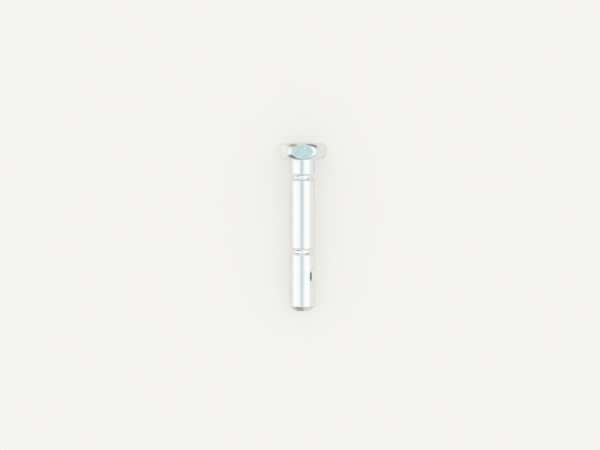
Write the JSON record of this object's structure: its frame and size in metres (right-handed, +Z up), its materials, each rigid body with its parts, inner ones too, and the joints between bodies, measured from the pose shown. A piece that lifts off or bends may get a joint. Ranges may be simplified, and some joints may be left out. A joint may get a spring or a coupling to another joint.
{
  "type": "shear pin",
  "caption": "Hex-headed shear pin with a double-grooved shank, a chamfered tip and a countersunk cross hole for a cotter near the tip.",
  "frame": {"origin": "middle of the base, on the floor that the pin lies on", "axes": "+Y along the pin towards its head, +Z up, +X to the right as seen from above with the head away. The pin's own axis lies in the YZ plane and rises 3.66 degrees towards the head, because the head is wider than the shank."},
  "size_m": [0.0124, 0.0424, 0.0113],
  "materials": {
    "zinc_plate": "bright zinc plate on steel, smooth, with a faint blue cast"
  },
  "bodies": {
    "root": {"shear_pin": "zinc_plate"}
  },
  "joints": []
}
